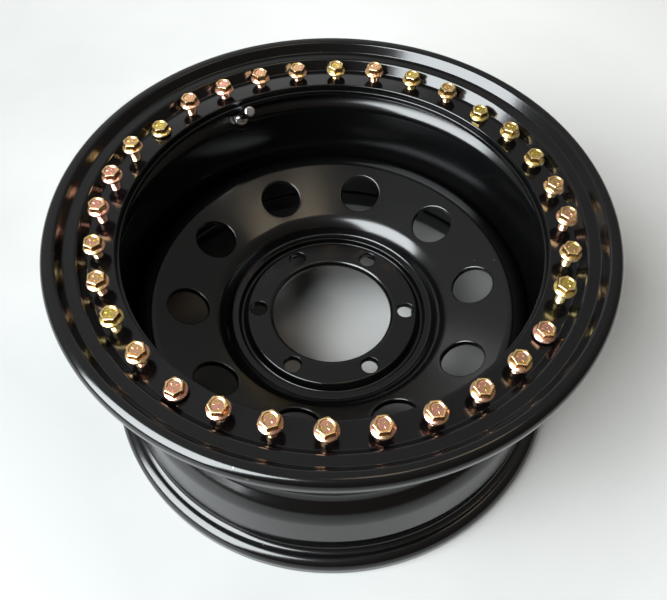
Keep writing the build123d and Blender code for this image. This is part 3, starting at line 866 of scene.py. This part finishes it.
# ---------------------------------------------------------------------------
# materials
# ---------------------------------------------------------------------------
class Nodes:
    def __init__(self, name):
        self.mat = bpy.data.materials.new(name)
        self.mat.use_nodes = True
        self.tree = self.mat.node_tree
        self.tree.nodes.clear()
        self.out = self.add("ShaderNodeOutputMaterial")
        self.shader = self.add("ShaderNodeBsdfPrincipled")
        self.link(self.shader, "BSDF", self.out, "Surface")

    def add(self, kind, **values):
        node = self.tree.nodes.new(kind)
        for key, value in values.items():
            if hasattr(node, key) and key not in node.inputs:
                setattr(node, key, value)
            else:
                node.inputs[key].default_value = value
        return node

    def link(self, a, out, b, into):
        self.tree.links.new(a.outputs[out], b.inputs[into])

    def set(self, **values):
        for key, value in values.items():
            self.shader.inputs[key.replace("_", " ")].default_value = value

    def noise(self, vec, scale, detail=2.0, rough=0.5, **kw):
        n = self.add("ShaderNodeTexNoise", Scale=scale, Detail=detail, Roughness=rough, **kw)
        self.link(vec[0], vec[1], n, "Vector")
        return n

    def remap(self, src, out, lo, hi, a, b, kind="LINEAR"):
        n = self.add("ShaderNodeMapRange", interpolation_type=kind)
        n.inputs["From Min"].default_value = lo
        n.inputs["From Max"].default_value = hi
        n.inputs["To Min"].default_value = a
        n.inputs["To Max"].default_value = b
        self.link(src, out, n, "Value")
        return n

    def math(self, op, a, b=None):
        n = self.add("ShaderNodeMath", operation=op)
        for k, v in enumerate((a, b)):
            if v is None:
                continue
            if isinstance(v, tuple):
                self.tree.links.new(v[0].outputs[v[1]], n.inputs[k])
            else:
                n.inputs[k].default_value = v
        return n

    def mix(self, fac, a, b):
        n = self.add("ShaderNodeMix", data_type="RGBA")
        self.tree.links.new(fac[0].outputs[fac[1]], n.inputs[0])
        for k, v in ((6, a), (7, b)):
            if isinstance(v, tuple) and hasattr(v[0], "outputs"):
                self.tree.links.new(v[0].outputs[v[1]], n.inputs[k])
            else:
                n.inputs[k].default_value = (*v, 1.0)
        return n

    def ramp(self, src, out, stops):
        n = self.add("ShaderNodeValToRGB")
        e = n.color_ramp.elements
        while len(e) < len(stops):
            e.new(0.5)
        for el, (pos, col) in zip(e, stops):
            el.position = pos
            el.color = (*col, 1.0)
        self.link(src, out, n, "Fac")
        return n


def paint(name, rough_lo, rough_hi, chips=()):
    """Black paint: slight orange peel, faint mottling of the gloss, settled dust and a few nicks."""
    n = Nodes(name)
    co = n.add("ShaderNodeTexCoord")
    obj = (co, "Object")
    geo = n.add("ShaderNodeNewGeometry")
    sep = n.add("ShaderNodeSeparateXYZ")
    n.link(geo, "Normal", sep, "Vector")
    up = n.remap(sep, "Z", 0.35, 0.9, 0.0, 1.0)
    # dust: few cells of a fine cell pattern hold a speck
    cell = n.add("ShaderNodeTexVoronoi", feature="F1", Scale=170.0)
    n.link(*obj, cell, "Vector")
    rnd = n.add("ShaderNodeSeparateColor")
    n.link(cell, "Color", rnd, "Color")
    some = n.math("GREATER_THAN", (rnd, "Red"), 0.965)
    size = n.remap(rnd, "Green", 0.0, 1.0, 0.025, 0.07)
    near = n.math("LESS_THAN", (cell, "Distance"), (size, "Result"))
    speck = n.math("MULTIPLY", (some, 0), (near, 0))
    speck = n.math("MULTIPLY", (speck, 0), (up, "Result"))
    haze = n.noise(obj, 9.0, 4.0, 0.6)
    tone = n.mix((haze, "Fac"), (0.0008, 0.0008, 0.0009), (0.0014, 0.0014, 0.0015))
    col = n.mix((speck, 0), (tone, 2), (0.07, 0.068, 0.062))
    rough = n.remap(haze, "Fac", 0.3, 0.7, rough_lo, rough_hi)
    rough = n.math("ADD", (rough, "Result"), (n.math("MULTIPLY", (speck, 0), 0.4), 0))
    last_col, last_rough = (col, 2), (rough, 0)
    for (point, radius, tint) in chips:
        dist = n.add("ShaderNodeVectorMath", operation="DISTANCE")
        n.link(*obj, dist, 0)
        dist.inputs[1].default_value = [c * MM for c in point]
        wob = n.noise(obj, 900.0, 2.0)
        edge = n.remap(wob, "Fac", 0.3, 0.7, radius * MM * 0.6, radius * MM * 1.25)
        hit = n.math("LESS_THAN", (dist, "Value"), (edge, "Result"))
        last_col = (n.mix((hit, 0), last_col, tint), 2)
        last_rough = (n.math("ADD", last_rough, (n.math("MULTIPLY", (hit, 0), 0.25), 0)), 0)
    n.tree.links.new(last_col[0].outputs[last_col[1]], n.shader.inputs["Base Color"])
    n.tree.links.new(last_rough[0].outputs[last_rough[1]], n.shader.inputs["Roughness"])
    peel = n.noise(obj, 420.0, 2.0, 0.5)
    wave = n.noise(obj, 75.0, 1.0, 0.4)
    height = n.math("ADD", (n.math("MULTIPLY", (peel, "Fac"), 0.25), 0), (wave, "Fac"))
    bump = n.add("ShaderNodeBump", Strength=0.05, Distance=0.0006)
    n.link(height, 0, bump, "Height")
    n.link(bump, "Normal", n.shader, "Normal")
    n.set(Metallic=0.0, IOR=1.5)
    return n.mat


def zinc(name):
    """Yellow zinc: gold with pink and green bands of the thin film, set by the zone attribute, with the dish rims and
    hex edges painted lighter as a painted highlight and the hex side facets painted darker as painted shade; brushed
    a little by the wrench.
    """
    n = Nodes(name)
    co = n.add("ShaderNodeTexCoord")
    obj = (co, "Object")
    zone = n.add("ShaderNodeAttribute", attribute_name="zone")
    tone = n.add("ShaderNodeAttribute", attribute_name="tone")
    patch = n.noise(obj, 190.0, 2.0, 0.5)
    shift = n.math("MULTIPLY_ADD", (patch, "Fac"), 0.2)
    shift.inputs[2].default_value = -0.1
    s = n.math("ADD", (zone, "Fac"), (shift, 0))
    # colour by zone: the dish rim and hex edges (about 0.62) take the lightest stop as a painted highlight, and the
    # hex side facets (about 0.72) take the darkest stop as painted shade
    pink = n.ramp(s, 0, [(0.0, (0.90, 0.46, 0.36)), (0.3, (0.86, 0.42, 0.30)), (0.48, (0.90, 0.58, 0.23)), (0.62, (0.94, 0.66, 0.35)),
                         (0.72, (0.70, 0.36, 0.17)), (0.86, (0.90, 0.49, 0.34)), (1.0, (0.93, 0.51, 0.41))])
    green = n.ramp(s, 0, [(0.0, (0.74, 0.59, 0.14)), (0.3, (0.66, 0.47, 0.11)), (0.48, (0.90, 0.66, 0.21)), (0.62, (0.94, 0.73, 0.37)),
                          (0.72, (0.62, 0.40, 0.14)), (0.86, (0.86, 0.63, 0.17)), (1.0, (0.83, 0.70, 0.31))])
    blot = n.noise(obj, 260.0, 1.0, 0.5)
    mixed = n.math("MULTIPLY_ADD", (blot, "Fac"), 1.8)
    mixed.inputs[2].default_value = -0.9
    fac = n.math("ADD", (tone, "Fac"), (mixed, 0))
    fac = n.remap(fac, 0, 0.15, 0.85, 0.0, 1.0)
    col = n.mix((fac, "Result"), (pink, "Color"), (green, "Color"))
    fine = n.noise(obj, 1500.0, 2.0, 0.6)
    rough = n.remap(fine, "Fac", 0.3, 0.7, 0.19, 0.31)
    n.link(col, 2, n.shader, "Base Color")
    n.link(rough, "Result", n.shader, "Roughness")
    bump = n.add("ShaderNodeBump", Strength=0.06, Distance=0.0001)
    n.link(fine, "Fac", bump, "Height")
    n.link(bump, "Normal", n.shader, "Normal")
    n.set(Metallic=1.0)
    return n.mat


def metal(name, base, dark, rough_lo, rough_hi, scale=500.0):
    n = Nodes(name)
    co = n.add("ShaderNodeTexCoord")
    obj = (co, "Object")
    a = n.noise(obj, scale, 3.0, 0.6)
    col = n.mix((a, "Fac"), dark, base)
    n.link(col, 2, n.shader, "Base Color")
    rough = n.remap(a, "Fac", 0.3, 0.7, rough_lo, rough_hi)
    n.link(rough, "Result", n.shader, "Roughness")
    bump = n.add("ShaderNodeBump", Strength=0.05, Distance=0.0001)
    n.link(a, "Fac", bump, "Height")
    n.link(bump, "Normal", n.shader, "Normal")
    n.set(Metallic=1.0)
    return n.mat


def dull(name, base, dark, rough_lo, rough_hi, scale=800.0):
    n = Nodes(name)
    co = n.add("ShaderNodeTexCoord")
    obj = (co, "Object")
    a = n.noise(obj, scale, 4.0, 0.6)
    col = n.mix((a, "Fac"), dark, base)
    n.link(col, 2, n.shader, "Base Color")
    rough = n.remap(a, "Fac", 0.3, 0.7, rough_lo, rough_hi)
    n.link(rough, "Result", n.shader, "Roughness")
    bump = n.add("ShaderNodeBump", Strength=0.15, Distance=0.0002)
    n.link(a, "Fac", bump, "Height")
    n.link(bump, "Normal", n.shader, "Normal")
    n.set(Metallic=0.0)
    return n.mat


gloss = paint("gloss_black_paint", 0.13, 0.17, (((134.64, 180.64, 221.0), 1.0, (0.24, 0.23, 0.21)),
                                               ((-51.4, -219.3, 226.5), 1.2, (0.02, 0.018, 0.016)),
                                               ((-60.0, -212.7, 230.4), 0.7, (0.26, 0.25, 0.23))))
satin = paint("satin_black_paint", 0.15, 0.21)
yellow = zinc("yellow_zinc")
nickel = metal("bright_nickel", (0.86, 0.86, 0.88), (0.74, 0.74, 0.77), 0.05, 0.12)
brass = metal("turned_brass", (0.72, 0.55, 0.25), (0.58, 0.42, 0.18), 0.2, 0.34)
wire = metal("spring_wire", (0.55, 0.55, 0.57), (0.42, 0.42, 0.44), 0.25, 0.4)
rubber = dull("black_rubber", (0.02, 0.02, 0.02), (0.012, 0.012, 0.012), 0.6, 0.8)
seal = dull("seal_plastic", (0.74, 0.73, 0.69), (0.66, 0.65, 0.61), 0.45, 0.6)


# ---------------------------------------------------------------------------
# pieces
# ---------------------------------------------------------------------------
def dress(obj, mat):
    obj.data.materials.clear()
    obj.data.materials.append(mat)


def stand_for(obj, node, body, mat):
    dress(obj, mat)
    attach(obj, body)
    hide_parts(node)


stand_for(barrel(), "rim_barrel", "wheel", satin)
stand_for(disc(), "wheel_disc", "wheel", satin)
stand_for(bead_ring(), "bead_ring", "wheel", satin)
stand_for(clamp_ring(), "clamp_ring", "wheel", gloss)
for piece in bolts():
    stand_for(piece, "ring_bolts", "wheel", yellow)
stand_for(weld("disc_weld_skin", (180.0, 102.5), (180.0, 100.2), (175.8, 102.5), 0.9,
               [(45 * i + 7.5, 45 * i + 37.5) for i in range(8)], 3.2, 3), "disc_weld", "wheel", satin)
stand_for(weld("ring_weld_skin", (199.5, 194.14), (199.5, 190.0), (195.36, 190.0), 0.7, [(0, 360)], 3.0, 5),
          "ring_weld", "wheel", satin)
stand_for(valve_nut(), "valve_nut", "wheel", nickel)
stand_for(valve_stem(), "valve_stem", "wheel", nickel)
stand_for(valve_cap(), "valve_cap", "cap", nickel)
for node, mat in {"valve_seal": rubber, "valve_washer": nickel, "cap_gasket": rubber, "core_body": brass,
                  "core_seal": seal, "core_pin": brass, "core_spring": wire}.items():
    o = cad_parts[node]
    for s in o.material_slots:
        s.material = mat
    if not o.material_slots:
        o.data.materials.append(mat)

# ---------------------------------------------------------------------------
# floor, light, camera
# ---------------------------------------------------------------------------
def floor():
    mesh = bpy.data.meshes.new("floor")
    s = 6.0
    mesh.from_pydata([(-s, -s, -0.0003), (s, -s, -0.0003), (s, s, -0.0003), (-s, s, -0.0003)], [], [(0, 1, 2, 3)])
    obj = bpy.data.objects.new("floor", mesh)
    scene.collection.objects.link(obj)
    n = Nodes("pale_floor")
    co = n.add("ShaderNodeTexCoord")
    a = n.noise((co, "Object"), 3.0, 4.0, 0.55)
    # floor colour grades from darker at the front left to paler at the back right: painted light that evens out the
    # window's falloff and lifts the wheel's shadow, with noise on top for random tone
    side = n.add("ShaderNodeVectorMath", operation="DOT_PRODUCT")
    n.link(co, "Object", side, 0)
    side.inputs[1].default_value = (0.75, 0.66, 0.0)
    painted_falloff = n.math("MULTIPLY_ADD", (side, "Value"), 1.1)
    painted_falloff.inputs[2].default_value = 0.1
    fac = n.math("ADD", (painted_falloff, 0), (n.math("MULTIPLY", (a, "Fac"), 0.4), 0))
    fac = n.remap(fac, 0, 0.0, 1.0, 0.0, 1.0)
    col = n.mix((fac, "Result"), (0.28, 0.279, 0.275), (0.62, 0.612, 0.594))
    n.link(col, 2, n.shader, "Base Color")
    n.set(Roughness=0.55)
    mesh.materials.append(n.mat)


floor()


def area(name, loc, target, size, power, colour, shape="RECTANGLE"):
    light = bpy.data.lights.new(name, "AREA")
    light.shape = shape
    light.size, light.size_y = size
    light.energy = power
    light.color = colour
    obj = bpy.data.objects.new(name, light)
    scene.collection.objects.link(obj)
    obj.location = loc
    obj.rotation_euler = (Vector(target) - Vector(loc)).to_track_quat("-Z", "Y").to_euler()
    return obj


area("window", (-1.285, -0.834, 1.436), (0, 0, 0.15), (1.7, 2.04), 190, (0.92, 0.975, 1.0))
area("lamp", (0.3, -0.12, 2.45), (0, 0, 0.1), (0.45, 0.45), 2.1, (1.0, 0.82, 0.58))
area("lamp_two", (0.82, 0.18, 2.45), (0, 0, 0.1), (0.45, 0.45), 1.9, (1.0, 0.82, 0.58))
area("panel", (-0.4, 2.2, 1.67), (0, 0, 0.2), (1.7, 0.36), 1.95, (1.0, 0.99, 0.97))

world = bpy.data.worlds.new("room")
scene.world = world
world.use_nodes = True
tree = world.node_tree
ground = tree.nodes["Background"]
way = tree.nodes.new("ShaderNodeTexCoord")
aim = tree.nodes.new("ShaderNodeVectorMath")
aim.operation = "DOT_PRODUCT"
aim.inputs[1].default_value = (-0.4, 0.6, 0.69)
tree.links.new(way.outputs["Generated"], aim.inputs[0])
wall = tree.nodes.new("ShaderNodeMapRange")
wall.inputs["From Min"].default_value = -1.0
wall.inputs["From Max"].default_value = 1.0
tree.links.new(aim.outputs["Value"], wall.inputs["Value"])
shade = tree.nodes.new("ShaderNodeValToRGB")
stops = shade.color_ramp.elements
for pos, col in ((0.0, (0.10, 0.082, 0.06, 1)), (0.35, (0.13, 0.112, 0.09, 1)), (0.73, (0.24, 0.235, 0.225, 1)),
                 (0.9, (0.32, 0.32, 0.315, 1)), (1.0, (0.5, 0.5, 0.5, 1))):
    e = stops[0] if pos == 0.0 else stops[-1] if pos == 1.0 else stops.new(pos)
    e.color = col
tree.links.new(wall.outputs["Result"], shade.inputs["Fac"])
tree.links.new(shade.outputs["Color"], ground.inputs["Color"])

cam_data = bpy.data.cameras.new("camera")
cam_data.sensor_fit = "HORIZONTAL"
cam_data.sensor_width = 36.0
cam_data.lens = 694.2028 / 667.0 * 36.0
cam_data.clip_start, cam_data.clip_end = 0.01, 50.0
cam = bpy.data.objects.new("camera", cam_data)
scene.collection.objects.link(cam)
right, upv = Vector((0.999986, 0.002667, 0.004567)), Vector((-0.004796, 0.821517, 0.570164))
back = right.cross(upv).normalized()
cam.matrix_world = Matrix(((right.x, upv.x, back.x, 0.0), (right.y, upv.y, back.y, -0.3702947),
                           (right.z, upv.z, back.z, 0.6375447), (0, 0, 0, 1)))
scene.camera = cam
scene.view_settings.view_transform = "Standard"

bpy.context.view_layer.update()
